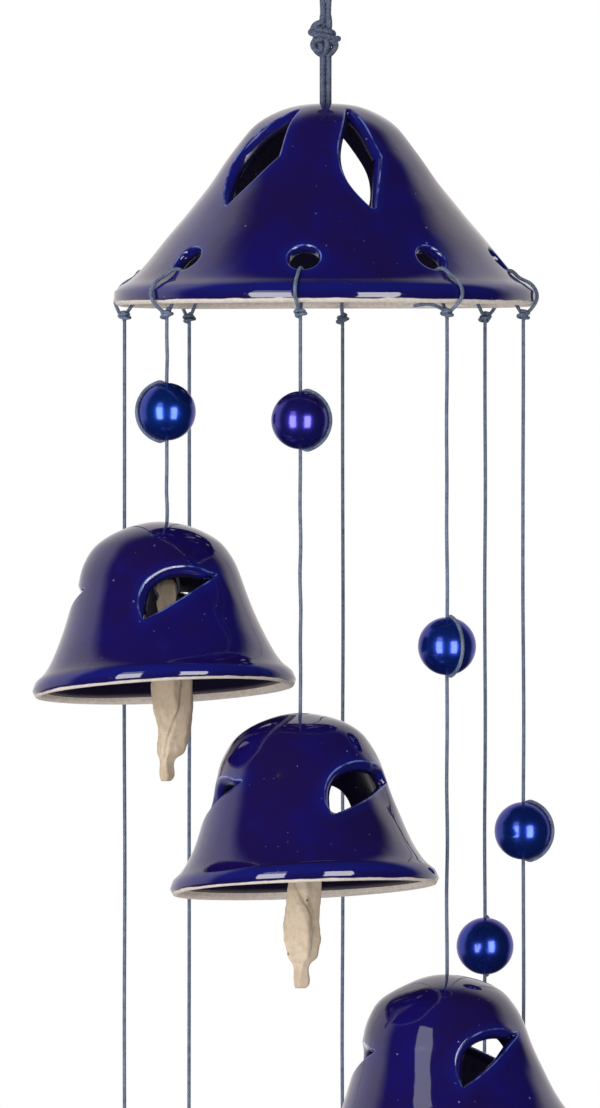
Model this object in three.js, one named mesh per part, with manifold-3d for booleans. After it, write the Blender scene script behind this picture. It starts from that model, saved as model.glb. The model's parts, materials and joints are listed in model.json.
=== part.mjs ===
// Hanging chime of glazed ceramic bells, strung in a falling spiral under a glazed canopy.
// Lengths are in millimetres and angles in degrees. The origin is where a hook touches the inside
// of the hanging loop, +Z is up, and the front of the chime faces -Y.
import * as THREE from "three";
import { mergeVertices } from "three/addons/utils/BufferGeometryUtils.js";
import Module from "manifold-3d";

const wasm = await Module();
wasm.setup();

// Clearances
const seatGap = 0.3;
const rockGap = 0.6;
const bellToCordGap = 4.9;
const crownHoleClearance = 1.3;
const bellHoleClearance = 2.3;
const clapperHoleClearance = 1.7;
const canopyKnotGrip = 2.8;
const bellKnotGrip = 0.8;

// Suspension: a loop with a knot in both strands, and two strands down to the canopy
const suspensionDiameter = 1.5;
const strandSpacing = 1.6;
const hangingLoopHeight = 40;
const hangingLoopWidth = 11;
const hangingKnotHeight = 9;
const hangingKnotWidth = 7.4;
const freeStrandLength = 12;

// Strings and their knots: the rim holes are punched by hand, a little off their even places
const stringCount = 8;
const firstStringAngle = -52;
const punchOffsets = [0.5, -0.2, -1.5, -5, -1, 2, 5, 4];
const cordDiameter = 0.9;
const rimKnotDiameter = 3.5;
const rimKnotDrop = 3.2;
const loopBows = [-2.2, -0.9, 2.2, 0.5, -0.8, 0.7, -0.5, 0.4];
const loopSlack = 0.7;
const longTailString = 3;
const longTailLength = 10;
const longTailRise = 1.4;

// Beads: depths of their centres below the canopy rim, and the side their wrap passes
const beadDiameter = 14.4;
const beadDepths = [27.2, 29.5, 85.3, 131.5, 161.3, 212, 252, 292];
const wrapAngles = [-80, 80, 30, 75, 165, 150, -150, -60];

// Bells: the upper three crowns lie at these depths below the rim, the rest follow in steps
const bellRadius = 33.2;
const bellHeight = 43;
const bellWall = 3;
const bellShoulderDepth = 7.8;
const bellShoulderTaper = 6.4;
const bellSkirtTaper = 5.6;
const bellLipFlare = 3.8;
const bellLipHeight = 7.4;
const bellBalanceDepth = 24.5;
const upperBellDepths = [54.2, 101.5, 166.2];
const lowerBellStep = 55;
const bellLeans = [6.2, 5.6, 4.2, 3.5, 4.2, 3, 4.5, 3.6];
const bellRaisedSides = [27, 26, 90, -140, 150, 20, -70, 110];

// Windows cut in each bell by hand, each at its own depth
const windowDepths = [19.6, 20.4, 21.8];
const windowCount = windowDepths.length;
const windowAngles = [15, 46, 34, 80, 10, 60, 100, 35];
const windowWidth = 19.6;
const windowHeight = 11.4;
const windowSlope = 10.7;

// Clappers
const clapperLength = 50;
const clapperWidth = 10.2;
const clapperTopWidth = 4.4;
const clapperTabWidth = 3.6;
const clapperTabLength = 6;
const clapperFlattening = 0.74;
const clapperTwist = 75;
const clapperTopDepth = 14.6;
const clapperHoleInset = 4;

// Canopy, with leaf-shaped petals cut through its cone by hand
const canopyOverhang = 2.5;
const canopyHeight = 50.3;
const canopyWall = 3.2;
const canopyShoulderRadius = 20.6;
const canopyShoulderDepth = 9;
const rimRollWidth = 5.6;
const rimRollHeight = 7.8;
const rimHoleDiameter = 8;
const rimHoleRise = 5.1;
const petalAngles = [20.5, 91, 163, -106, -49];
const petalWidths = [9.8, 9.8, 9.8, 9.8, 13.6];
const petalLength = 33;
const petalDrop = 5.2;

// Fineness of the facets
const canopyFacets = 4 * stringCount;
const bellFacets = 6 * windowCount;
const beadFacets = 10;
const clapperFacets = 6;
const cordSides = 8;
const loopSides = 6;

// Sizes that follow from the values above
const cordRadius = cordDiameter / 2;
const suspensionRadius = suspensionDiameter / 2;
const crownHoleDiameter = strandSpacing + suspensionDiameter + crownHoleClearance;
const canopyStopKnotDiameter = crownHoleDiameter + canopyKnotGrip;
const bellHoleDiameter = cordDiameter + bellHoleClearance;
const stopKnotDiameter = bellHoleDiameter + bellKnotGrip;
const clapperHoleDiameter = cordDiameter + clapperHoleClearance;
const halfStep = Math.PI / stringCount;
const stringCircleRadius = (bellRadius + cordRadius + bellToCordGap) / (2 * Math.sin(halfStep));
const canopyRadius = stringCircleRadius + canopyOverhang;
const hangingKnotZ = -hangingLoopHeight - hangingKnotHeight / 2;
const strandTopZ = -hangingLoopHeight - hangingKnotHeight - seatGap;
const crownZ = strandTopZ - freeStrandLength;
const rimZ = crownZ - canopyHeight;
const rimKnotZ = rimZ - rimKnotDrop;
const stringTopZ = rimKnotZ - rimKnotDiameter / 2 - seatGap;

const glazeMaterial = { color: 0x16166e, roughness: 0.12, metalness: 0 };
const clayMaterial = { color: 0xc4ab8b, roughness: 0.85, metalness: 0 };
const beadMaterial = { color: 0x1b2a9c, roughness: 0.2, metalness: 0.6 };
const cordMaterial = { color: 0x53688c, roughness: 0.8, metalness: 0 };

const chime = new THREE.Group();
chime.name = "ceramic_bell_chime";

const radians = THREE.MathUtils.degToRad;

// Turns a three.js geometry into a solid, leaving out triangles that have shrunk to a line.
function solidOf(geometry) {
  const bare = geometry.clone();
  bare.deleteAttribute("normal");
  bare.deleteAttribute("uv");
  const merged = mergeVertices(bare, 1e-4);
  const corners = merged.index.array;
  const kept = [];
  for (let i = 0; i < corners.length; i += 3) {
    const [a, b, c] = [corners[i], corners[i + 1], corners[i + 2]];
    if (a !== b && b !== c && c !== a) kept.push(a, b, c);
  }
  const vertProperties = new Float32Array(merged.attributes.position.array);
  const mesh = new wasm.Mesh({ numProp: 3, vertProperties, triVerts: new Uint32Array(kept) });
  return new wasm.Manifold(mesh);
}

function geometryOf(solid) {
  const mesh = solid.getMesh();
  const geometry = new THREE.BufferGeometry();
  geometry.setAttribute("position", new THREE.BufferAttribute(mesh.vertProperties, 3));
  geometry.setIndex(new THREE.BufferAttribute(mesh.triVerts, 1));
  geometry.computeVertexNormals();
  return geometry;
}

function addPiece(name, solid, finish) {
  const mesh = new THREE.Mesh(geometryOf(solid), new THREE.MeshStandardMaterial(finish));
  mesh.name = name;
  chime.add(mesh);
  return mesh;
}

// Revolves an outline of [radius, height] points, listed from the top down, about the Z axis,
// with the middle of a facet at the front.
function revolve(outline, facets) {
  const points = outline.map(([radius, height]) => new THREE.Vector2(radius, height));
  points.reverse();
  const geometry = new THREE.LatheGeometry(points, facets, Math.PI / facets);
  geometry.rotateX(Math.PI / 2);
  return geometry;
}

// Sweeps a round section along a curve with open ends.
function openTube(curve, radius, steps, sides) {
  const section = new THREE.Shape();
  for (let side = 0; side < sides; side++) {
    const turn = (2 * Math.PI * side) / sides;
    const x = radius * Math.cos(turn);
    const y = radius * Math.sin(turn);
    if (side === 0) section.moveTo(x, y);
    else section.lineTo(x, y);
  }
  return solidOf(new THREE.ExtrudeGeometry(section, { steps, extrudePath: curve }));
}

function straightTube(from, to, radius, sides) {
  return openTube(new THREE.LineCurve3(from, to), radius, 1, sides);
}

function closedTube(points, radius, steps, sides) {
  const curve = new THREE.CatmullRomCurve3(points, true);
  return solidOf(new THREE.TubeGeometry(curve, steps, radius, sides, true));
}

// A tied knot as a rounded lump of the given width and height.
function knotLump(centre, width, height) {
  const lump = new THREE.SphereGeometry(0.5, 6, 4);
  lump.rotateX(Math.PI / 2);
  lump.scale(width, width, height);
  lump.translate(centre.x, centre.y, centre.z);
  return solidOf(lump);
}

function cylinderAlong(direction, centre, diameter, length, sides) {
  const cylinder = new THREE.CylinderGeometry(diameter / 2, diameter / 2, length, sides);
  const up = new THREE.Vector3(0, 1, 0);
  cylinder.applyQuaternion(new THREE.Quaternion().setFromUnitVectors(up, direction));
  cylinder.translate(centre.x, centre.y, centre.z);
  return solidOf(cylinder);
}

// Closes an outer outline, axis to rim, into a wall of even thickness with a rounded lip.
// The inside is plainer: it follows every second point.
function shellOutline(outer, wall) {
  const inner = [];
  for (let i = (outer.length - 1) % 2; i < outer.length; i += 2) {
    const before = outer[Math.max(i - 1, 0)];
    const after = outer[Math.min(i + 1, outer.length - 1)];
    const along = new THREE.Vector2(after[0] - before[0], after[1] - before[1]).normalize();
    inner.push([outer[i][0] + wall * along.y, outer[i][1] - wall * along.x]);
  }
  if (inner[0][0] > wall) inner.unshift([0, outer[0][1] - wall]);
  else inner[0] = [0, outer[0][1] - wall];
  const lipOut = outer.at(-1);
  const lipIn = inner.at(-1);
  const along = new THREE.Vector2(lipOut[0] - lipIn[0], lipOut[1] - lipIn[1]).rotateAround(
    new THREE.Vector2(),
    -Math.PI / 2,
  );
  const round = 0.3;
  const lip = [0.25, 0.75].map((share) => [
    THREE.MathUtils.lerp(lipOut[0], lipIn[0], share) + round * along.x,
    THREE.MathUtils.lerp(lipOut[1], lipIn[1], share) + round * along.y,
  ]);
  return [...outer, ...lip, ...inner.reverse()];
}

function splineThrough(points, count) {
  const spline = new THREE.SplineCurve(points.map(([x, y]) => new THREE.Vector2(x, y)));
  return spline.getPoints(count).map((point) => [point.x, point.y]);
}

// Direction and outward normal of the canopy's straight cone, in [radius, height]
const coneTop = new THREE.Vector2(canopyShoulderRadius, -canopyShoulderDepth);
const coneEnd = new THREE.Vector2(canopyRadius - rimRollWidth, rimRollHeight - canopyHeight);
const coneDown = coneEnd.clone().sub(coneTop).normalize();
const coneOut = new THREE.Vector2(-coneDown.y, coneDown.x);
const rimHole = coneEnd.clone().addScaledVector(coneDown, -rimHoleRise);

// Angle of a string's place round the rim, from the front.
function stringTurn(i) {
  return radians(firstStringAngle + (360 / stringCount) * i + punchOffsets[i]);
}

function addCanopy() {
  const dome = splineThrough(
    [
      [0, 0],
      [0.46 * coneTop.x, 0.13 * coneTop.y],
      [0.82 * coneTop.x, 0.58 * coneTop.y],
      [coneTop.x, coneTop.y],
      [coneTop.x + 5 * coneDown.x, coneTop.y + 5 * coneDown.y],
    ],
    6,
  );
  const roll = [
    [coneEnd.x, coneEnd.y],
    [canopyRadius - 0.22 * rimRollWidth, coneEnd.y - 0.4 * rimRollHeight],
    [canopyRadius, coneEnd.y - 0.8 * rimRollHeight],
  ];
  const bowl = revolve(shellOutline([...dome, ...roll], canopyWall), canopyFacets);
  bowl.rotateZ(radians(firstStringAngle));
  let canopy = solidOf(bowl);

  const axis = new THREE.Vector3(0, 0, 1);
  const crown = new THREE.Vector3(0, 0, 0);
  canopy = canopy.subtract(cylinderAlong(axis, crown, crownHoleDiameter, 4 * canopyWall, 8));

  for (let i = 0; i < stringCount; i++) {
    const outward = new THREE.Vector3(0, -coneOut.x, coneOut.y);
    const centre = new THREE.Vector3(0, -rimHole.x, rimHole.y);
    const spin = new THREE.Quaternion().setFromAxisAngle(axis, stringTurn(i));
    outward.applyQuaternion(spin);
    centre.applyQuaternion(spin);
    canopy = canopy.subtract(cylinderAlong(outward, centre, rimHoleDiameter, 4 * canopyWall, 8));
  }

  const petalAxes = new THREE.Matrix4().makeBasis(
    new THREE.Vector3(1, 0, 0),
    new THREE.Vector3(0, coneDown.x, -coneDown.y),
    new THREE.Vector3(0, -coneOut.x, coneOut.y),
  );
  const petalPlace = coneTop.clone().addScaledVector(coneDown, petalDrop);
  for (let i = 0; i < petalAngles.length; i++) {
    const petal = petalCutter(petalWidths[i]);
    petal.applyMatrix4(petalAxes);
    petal.translate(0, -petalPlace.x, petalPlace.y);
    petal.rotateZ(radians(petalAngles[i]));
    canopy = canopy.subtract(solidOf(petal));
  }

  addPiece("canopy", canopy, glazeMaterial).position.z = crownZ;
}

// The leaf shape of a petal, bowed on one side and bent on the other, deep enough to cut the cone.
function petalCutter(width) {
  const leaf = new THREE.Shape();
  leaf.moveTo(0.15 * width, petalLength / 2);
  leaf.lineTo(0.5 * width, 0);
  leaf.lineTo(0, -petalLength / 2);
  leaf.quadraticCurveTo(-0.95 * width, -0.1 * petalLength, 0.15 * width, petalLength / 2);
  const cutDepth = 6 * canopyWall;
  const petal = new THREE.ExtrudeGeometry(leaf, {
    depth: cutDepth,
    bevelEnabled: false,
    curveSegments: 3,
  });
  return petal.translate(0, 0, 2 * canopyWall - cutDepth);
}

function addSuspension() {
  const halfWidth = hangingLoopWidth / 2;
  const halfSpacing = strandSpacing / 2;
  const side = [
    [halfSpacing, hangingKnotZ],
    [halfSpacing, -hangingLoopHeight + 2],
    [0.55 * halfWidth, -0.62 * hangingLoopHeight],
    [halfWidth, -0.24 * hangingLoopHeight],
    [0.62 * halfWidth, -0.03 * hangingLoopHeight],
  ];
  const right = side.map(([x, z]) => new THREE.Vector3(x, 0, z));
  const left = side.map(([x, z]) => new THREE.Vector3(-x, 0, z)).reverse();
  const top = new THREE.Vector3(0, 0, suspensionRadius);
  const eye = closedTube([...right, top, ...left], suspensionRadius, 16, cordSides);
  const knotCentre = new THREE.Vector3(0, 0, hangingKnotZ);
  const knot = knotLump(knotCentre, hangingKnotWidth, hangingKnotHeight);
  const band = new THREE.TorusGeometry(hangingKnotWidth / 2 - 0.5, suspensionRadius, loopSides, 10);
  band.rotateX(radians(62));
  band.translate(0, 0, hangingKnotZ);
  addPiece("hanging_loop", eye.add(knot).add(solidOf(band)), cordMaterial);

  const stopZ = crownZ - canopyWall - seatGap - canopyStopKnotDiameter / 2;
  const stop = new THREE.Vector3(0, 0, stopZ);
  let strands = knotLump(stop, canopyStopKnotDiameter, canopyStopKnotDiameter);
  for (const x of [-halfSpacing, halfSpacing]) {
    const from = new THREE.Vector3(x, 0, strandTopZ);
    const to = new THREE.Vector3(x, 0, stopZ);
    strands = strands.add(straightTube(from, to, suspensionRadius, cordSides));
  }
  addPiece("suspension_cord", strands, cordMaterial);
}

// The cord's end, through its rim hole and round the rim, tied to itself below the rim.
// It is drawn at the front of the canopy and then turned to its string's place.
function addRimLoop(number, turn, bow) {
  const holeEdge = rimHoleDiameter / 2;
  const bendInset = 1;
  const bend = Math.hypot(bendInset, canopyWall / 2) + cordRadius + seatGap + 0.4 * loopSlack;
  const centre = rimHole
    .clone()
    .addScaledVector(coneDown, holeEdge + bendInset)
    .addScaledVector(coneOut, -canopyWall / 2);
  const round = (share) => {
    const outward = bend * Math.cos(Math.PI * share);
    const upward = bend * Math.sin(Math.PI * share);
    return centre.clone().addScaledVector(coneOut, outward).addScaledVector(coneDown, -upward);
  };
  const clear = cordRadius + seatGap + loopSlack;
  const path = [
    [stringCircleRadius, -canopyHeight - rimKnotDrop, 0],
    [canopyRadius + 0.1, -canopyHeight - clear, 0.5 * bow],
    [canopyRadius + clear, 2.2 - canopyHeight, bow],
    [round(0).x, round(0).y, 0.7 * bow],
    [round(0.25).x, round(0.25).y, 0.2 * bow],
    [round(0.5).x, round(0.5).y, 0],
    [round(0.75).x, round(0.75).y, 0],
    [round(1).x, round(1).y, 0],
    [canopyRadius - 2 * canopyWall, 0.2 - canopyHeight, 0],
  ];
  const points = path.map(([radius, z, sideways]) => new THREE.Vector3(sideways, -radius, z));
  const knot = points[0];
  let loop = closedTube(points, cordRadius, 12, loopSides);
  loop = loop.add(knotLump(knot, rimKnotDiameter, rimKnotDiameter));
  if (number === longTailString) {
    const end = knot.clone().add(new THREE.Vector3(-longTailLength, 0, longTailRise));
    loop = loop.add(straightTube(knot, end, cordRadius, loopSides));
  }
  const piece = addPiece("rim_loop_" + number, loop, cordMaterial);
  piece.position.z = crownZ;
  piece.rotation.z = turn;
}

// The hanging length of one cord, with its wrap round the bead and the stop knot in the bell.
function addCord(number, place, beadZ, bellZ, wrapAngle) {
  const stopZ = bellZ - bellWall - rockGap - stopKnotDiameter / 2;
  const top = new THREE.Vector3(0, 0, stringTopZ);
  const stop = new THREE.Vector3(0, 0, stopZ);
  const wrapRadius = beadDiameter / 2 + seatGap + cordRadius;
  const wrapEnd = (0.4 * cordRadius) / wrapRadius;
  const wrap = [];
  for (let i = 0; i <= 8; i++) {
    const polar = THREE.MathUtils.lerp(wrapEnd, Math.PI - wrapEnd, i / 8);
    wrap.push(
      new THREE.Vector3(0, -wrapRadius * Math.sin(polar), beadZ + wrapRadius * Math.cos(polar)),
    );
  }
  const about = new THREE.Vector3(0, 0, 1);
  wrap.forEach((point) => point.applyAxisAngle(about, radians(wrapAngle)));
  const cord = straightTube(top, stop, cordRadius, cordSides)
    .add(openTube(new THREE.CatmullRomCurve3(wrap), cordRadius, 7, loopSides))
    .add(knotLump(stop, stopKnotDiameter, stopKnotDiameter));
  addPiece("cord_" + number, cord, cordMaterial).position.copy(place);
}

function addBead(number, place, beadZ) {
  const radius = beadDiameter / 2;
  const boreRadius = cordRadius + seatGap;
  const edge = Math.asin(boreRadius / radius);
  const outline = [];
  for (let i = 0; i <= 6; i++) {
    const polar = THREE.MathUtils.lerp(edge, Math.PI - edge, i / 6);
    outline.push([radius * Math.sin(polar), radius * Math.cos(polar)]);
  }
  outline.push(outline[0]);
  const bead = addPiece("bead_" + number, solidOf(revolve(outline, beadFacets)), beadMaterial);
  bead.position.set(place.x, place.y, beadZ);
}

// The bell's wall with its windows, its crown at the origin and its first window at the front.
function bellShell() {
  const lipZ = bellLipHeight - bellHeight;
  const lipRadius = bellRadius - bellLipFlare;
  const waistRadius = lipRadius - bellSkirtTaper;
  const waistZ = (lipZ - bellShoulderDepth) / 2;
  const shoulderRadius = waistRadius - bellShoulderTaper;
  const outer = [
    [0, 0],
    [0.46 * shoulderRadius, -0.13 * bellShoulderDepth],
    [0.8 * shoulderRadius, -0.5 * bellShoulderDepth],
    [shoulderRadius, -bellShoulderDepth],
    [waistRadius, waistZ],
    [lipRadius, lipZ],
    [bellRadius, 0.18 * bellLipHeight - bellHeight],
  ];
  let shell = solidOf(revolve(shellOutline(outer, bellWall), bellFacets));

  const half = windowWidth / 2;
  const low = -windowHeight / 2;
  const tip = low + windowSlope;
  const eye = new THREE.Shape();
  eye.moveTo(-half, low);
  eye.lineTo(half, tip);
  eye.bezierCurveTo(0.4 * half, -low, -0.3 * half, 1.5 * -low, -0.62 * half, 0.35 * -low);
  eye.lineTo(-half, low);
  const cut = new THREE.ExtrudeGeometry(eye, {
    depth: bellRadius,
    bevelEnabled: false,
    curveSegments: 3,
  });
  cut.rotateX(Math.PI / 2);
  cut.translate(0, -bellWall, 0);
  for (let i = 0; i < windowCount; i++) {
    const cutter = cut.clone();
    cutter.translate(0, 0, -windowDepths[i]);
    cutter.rotateZ((2 * Math.PI * i) / windowCount);
    shell = shell.subtract(solidOf(cutter));
  }
  return shell;
}

// A bell hangs from a hole beside its middle, so it leans until its weight is below the hole.
function addBell(number, shell, place, bellZ, windowAngle, lean, raisedSide) {
  const side = radians(raisedSide);
  const raised = new THREE.Vector3(Math.sin(side), -Math.cos(side), 0);
  const up = new THREE.Vector3(0, 0, 1);
  const hole = raised.clone().multiplyScalar(bellBalanceDepth * Math.tan(radians(lean)));
  const bell = shell
    .rotate([0, 0, windowAngle])
    .subtract(cylinderAlong(up, hole, bellHoleDiameter, 4 * bellWall, 6));
  const piece = addPiece("bell_" + number, bell, glazeMaterial);
  piece.quaternion.setFromAxisAngle(raised.clone().cross(up), radians(lean));
  piece.position.set(place.x, place.y, bellZ).sub(hole.applyQuaternion(piece.quaternion));
}

// A moulded bar of clay, twisted a little, hung by a ring of cord through its upper end.
function addClapper(number, place, bellZ) {
  const topZ = bellZ - clapperTopDepth;
  const half = clapperWidth / 2;
  const topHalf = clapperTopWidth / 2;
  const tabHalf = clapperTabWidth / 2;
  const tabZ = clapperTabLength - clapperLength;
  const outline = [
    [0, 0],
    [topHalf, -1.2],
    [1.06 * topHalf, -0.16 * clapperLength],
    [0.95 * half, -0.45 * clapperLength],
    [half, -0.66 * clapperLength],
    [0.92 * half, tabZ + 2.6],
    [tabHalf, tabZ],
    [0.9 * tabHalf, -clapperLength],
    [0, -clapperLength],
  ];
  const bar = revolve(outline, clapperFacets);
  const spot = bar.getAttribute("position");
  const point = new THREE.Vector3();
  const about = new THREE.Vector3(0, 0, 1);
  for (let i = 0; i < spot.count; i++) {
    point.fromBufferAttribute(spot, i);
    const reach = THREE.MathUtils.smoothstep(-point.z, 2 * clapperHoleInset, -tabZ);
    point.y *= clapperFlattening;
    point.applyAxisAngle(about, radians(clapperTwist * reach));
    spot.setXYZ(i, point.x, point.y, point.z);
  }
  const across = new THREE.Vector3(1, 0, 0);
  const hole = new THREE.Vector3(0, 0, -clapperHoleInset);
  const clapper = solidOf(bar).subtract(
    cylinderAlong(across, hole, clapperHoleDiameter, 2 * clapperWidth, 6),
  );
  addPiece("clapper_" + number, clapper, clayMaterial).position.set(place.x, place.y, topZ);

  const ringTop = bellZ - bellWall - rockGap - stopKnotDiameter - seatGap - cordRadius;
  const ringLow = topZ - clapperHoleInset;
  const reach = topHalf + seatGap + cordRadius + 0.3;
  const ring = [
    [0, ringTop],
    [0.62 * reach, THREE.MathUtils.lerp(ringTop, ringLow, 0.35)],
    [reach, THREE.MathUtils.lerp(ringTop, ringLow, 0.78)],
    [0.72 * reach, ringLow + 0.12],
    [0, ringLow],
    [-0.72 * reach, ringLow + 0.12],
    [-reach, THREE.MathUtils.lerp(ringTop, ringLow, 0.78)],
    [-0.62 * reach, THREE.MathUtils.lerp(ringTop, ringLow, 0.35)],
  ];
  const points = ring.map(([x, z]) => new THREE.Vector3(x, 0, z));
  const loop = closedTube(points, cordRadius, 8, loopSides);
  addPiece("clapper_loop_" + number, loop, cordMaterial).position.copy(place);
}

// Depth of a bell's crown below the canopy rim.
function bellDepth(i) {
  const stepsBelow = i - (upperBellDepths.length - 1);
  if (stepsBelow <= 0) return upperBellDepths[i];
  return upperBellDepths.at(-1) + lowerBellStep * stepsBelow;
}

addSuspension();
addCanopy();
const shell = bellShell();
for (let i = 0; i < stringCount; i++) {
  const number = i + 1;
  const turn = stringTurn(i);
  const place = new THREE.Vector3(Math.sin(turn), -Math.cos(turn), 0);
  place.multiplyScalar(stringCircleRadius);
  const beadZ = rimZ - beadDepths[i];
  const bellZ = rimZ - bellDepth(i);
  addRimLoop(number, turn, loopBows[i]);
  addCord(number, place, beadZ, bellZ, wrapAngles[i]);
  addBead(number, place, beadZ);
  addBell(number, shell, place, bellZ, windowAngles[i], bellLeans[i], bellRaisedSides[i]);
  addClapper(number, place, bellZ);
}

export default chime;
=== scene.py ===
"""Looks of the hanging ceramic bell chime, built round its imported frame.

Shapes are worked out in millimetres in the frame's axes and turned into metres as meshes.
Angles are in degrees, 0 at the front (-Y) and growing towards the right (+X).
"""
import json
import math

import bpy
import numpy as np
from mathutils import Euler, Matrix, Quaternion, Vector, geometry, noise


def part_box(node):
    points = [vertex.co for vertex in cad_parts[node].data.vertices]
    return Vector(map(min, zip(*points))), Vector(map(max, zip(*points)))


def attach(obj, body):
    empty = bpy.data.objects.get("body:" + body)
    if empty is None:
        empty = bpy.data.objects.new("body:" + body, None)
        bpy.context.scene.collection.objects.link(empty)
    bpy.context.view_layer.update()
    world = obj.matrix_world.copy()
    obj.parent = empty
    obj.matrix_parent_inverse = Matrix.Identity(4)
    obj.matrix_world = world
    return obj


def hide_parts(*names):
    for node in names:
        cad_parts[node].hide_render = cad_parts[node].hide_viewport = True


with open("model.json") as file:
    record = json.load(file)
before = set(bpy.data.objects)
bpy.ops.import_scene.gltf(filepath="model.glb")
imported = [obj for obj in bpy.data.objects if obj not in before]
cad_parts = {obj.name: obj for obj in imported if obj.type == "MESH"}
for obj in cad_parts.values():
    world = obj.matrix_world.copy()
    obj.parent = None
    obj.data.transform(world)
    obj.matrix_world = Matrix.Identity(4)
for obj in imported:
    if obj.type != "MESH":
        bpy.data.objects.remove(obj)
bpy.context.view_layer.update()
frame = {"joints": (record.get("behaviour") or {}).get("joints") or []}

MM = 0.001
STRING_COUNT = 8

# Cords and knots
CORD_RADIUS = 0.45
SUSPENSION_RADIUS = 0.75
STRAND_SPACING = 1.5
SEAT_GAP = 0.3
CORD_SIDES = 12
CORD_END_ROWS = (0.55, 0.85)
CORD_MARKS = 14
CORD_WANDER = 0.12
CORD_SEED = 50
STRAIGHT_BY_BEAD = 12
BELL_SEAT_GAP = 0.6
STOP_KNOT_RADIUS = 2
CANOPY_STOP_KNOT_RADIUS = 3.6
WRAP_ANGLES = [-80, 80, 30, 75, 165, 150, -150, -60]
LOOP_BOWS = [-2.2, -0.9, 2.2, 0.5, -0.8, 0.7, -0.5, -8.5]
LEAST_SLACK_BOW = 0.45
RIM_KNOT_DROP = 2.4
LONG_TAIL_STRING = 3
LONG_TAIL = (-10, 0, 1.4)

# Turns of the knots in the strings: drop, radius of the core, turns, rise and phase
RIM_KNOT_TURNS = ((0.1, 0.54, 1.6, 1.8, 0), (0.5, 0.855, 1.3, -1.5, 120))
STOP_KNOT_TURNS = ((0, 0.45, 1.7, 1.9, 0), (0.3, 0.8, 1.2, -1.2, 150))

# Strokes of the knot above the canopy, from its middle
HANGING_KNOT = [
    [
        (-0.75, 0, 4.8), (-1.1, -0.4, 3.4), (-2.3, -0.5, 2.8), (-3.1, 0, 1.8), (-3, 0.8, 0.6),
        (-1.8, 1.3, -0.4),
    ],
    [
        (-2.4, 1, 1.6), (-3.7, 0.2, 0.9), (-3.2, -1, 0.5), (-1.4, -1.8, 0.2), (0.6, -1.9, -0.3),
        (2.1, -1.4, -0.8), (3.1, -0.6, -0.8),
    ],
    [
        (-2.6, 0.4, 2.2), (-2.3, -1, 1.7), (-0.4, -1.5, 1.3), (1.2, -1.1, 0.9), (1.9, 0, 0.4),
        (1.2, 0.9, 0),
    ],
    [
        (-0.6, -1.2, -0.8), (-2.3, -1.5, -1.2), (-3.1, -0.6, -2.2), (-2.6, -0.8, -3.4),
        (-1.4, -1.3, -3.7), (-1.3, -1.6, -2.4),
    ],
    [(0.5, -1.3, -1.1), (2, -1.3, -1.6), (2.5, -0.4, -2.5), (2, -0.4, -3.6), (0.75, 0, -4.9)],
    [(0.1, -1.7, -0.9), (0.4, -1.7, -2.3), (0, -1.2, -3.8), (-0.75, 0, -4.9)],
    [(-2.9, 0, -2.6), (-2.2, 0, -3.9), (-0.75, 0, -4.9)],
    [(-2.6, 1, -1), (-1, 1.7, -0.6), (1, 1.6, -1), (2.3, 0.7, -1.8)],
    [(-2.7, 0.6, -1.8), (-1.2, 1.3, -1.9), (0.8, 1.2, -1.8), (2.2, 0.5, -2.2)],
    [(-0.75, 0, 4.8), (-0.6, 0.3, 2), (-0.6, 0.4, -2), (-0.75, 0, -4.9)],
    [(0.75, 0, 4.8), (0.9, 0, 2.6), (0.6, 0.3, 0), (0.6, 0.3, -2), (0.75, 0, -4.9)],
]

# Rounding of cut edges, in shares of the edge's size, and its size at the cuts
EDGE_ROWS = (0, 0.06, 0.22, 0.5, 1, 1.7)
CUT_EDGE = 0.5
CROWN_HOLE_EDGE = 0.8

# Canopy: outer outline as radius and depth below the crown
CANOPY_OUTLINE = [
    (0, 0), (9.3, 1), (13, 2.5), (17.4, 5.5), (20.9, 9.5), (24.3, 14), (28.5, 20),
    (33.2, 26.1), (38.2, 32.2), (43.3, 38.4), (46.8, 42.4), (49.6, 44.7), (51.6, 45.8),
    (52.8, 46.9), (53.2, 48.1), (53, 49.4), (52.4, 50.5), (51.7, 51.3),
]
CANOPY_WALL = 3.2
CROWN_HOLE_RADIUS = 2.2
CANOPY_BARE_LIP = 1.5
CANOPY_LIP_EDGE = 1.6
CANOPY_PITCH = 1.5
CANOPY_UNEVENNESS = 0.3
CANOPY_SEED = 3
RIM_HOLE_RADIUS = 3.8
RIM_HOLE_DEPTH = 39.3
PETAL_ANGLES = [20.5, 91, 163, -106, -49]
PETAL_SPREADS = [1, 1, 1, 1, 1.4]
PETAL_LENGTHS = [32, 33, 30, 33, 30.7]
PETAL_TOPS = [11.5, 11.5, 15, 11.5, 11.5]
PETAL_DRAWN_LENGTH = 33
PETAL_BEVEL = 0.5

# Bells: outer outline as radius and depth below the crown
BELL_OUTLINE = [
    (0, 0), (8, 1.4), (12, 3), (14.6, 4.6), (16.4, 6.2), (17.7, 8), (19.3, 10.8), (20.5, 14),
    (21.9, 18.5), (24, 24.2), (26.4, 30), (29, 35), (30.9, 37.4), (32.4, 38.7), (33.1, 39.7), (33.3, 40.7),
    (33.1, 41.7), (32.6, 42.5), (32.2, 43),
]
BELL_WALL = 3
BELL_BARE_LIP = 1
BELL_LIP_EDGE = 1.5
BELL_PITCH = 1.3
BELL_HOLE_RADIUS = 1.6
BELL_BALANCE_DEPTH = 24.5
BELL_LEANS = [6.2, 5.6, 4.9, 3.5, 4.2, 3, 4.5, 3.6]
BELL_RAISED_SIDES = [27, 26, 121, -140, 150, 20, -70, 110]
BELL_HOLE_SHIFTS = [(1.5, 0), (-0.3, 0), (0.2, 1.7), (0, 0), (-0.4, 0), (0.3, 0), (0, 0), (-0.3, 0)]
BELL_STRETCHES = [1, 1.035, 1, 1.01, 0.99, 1.015, 1, 0.99]
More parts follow.
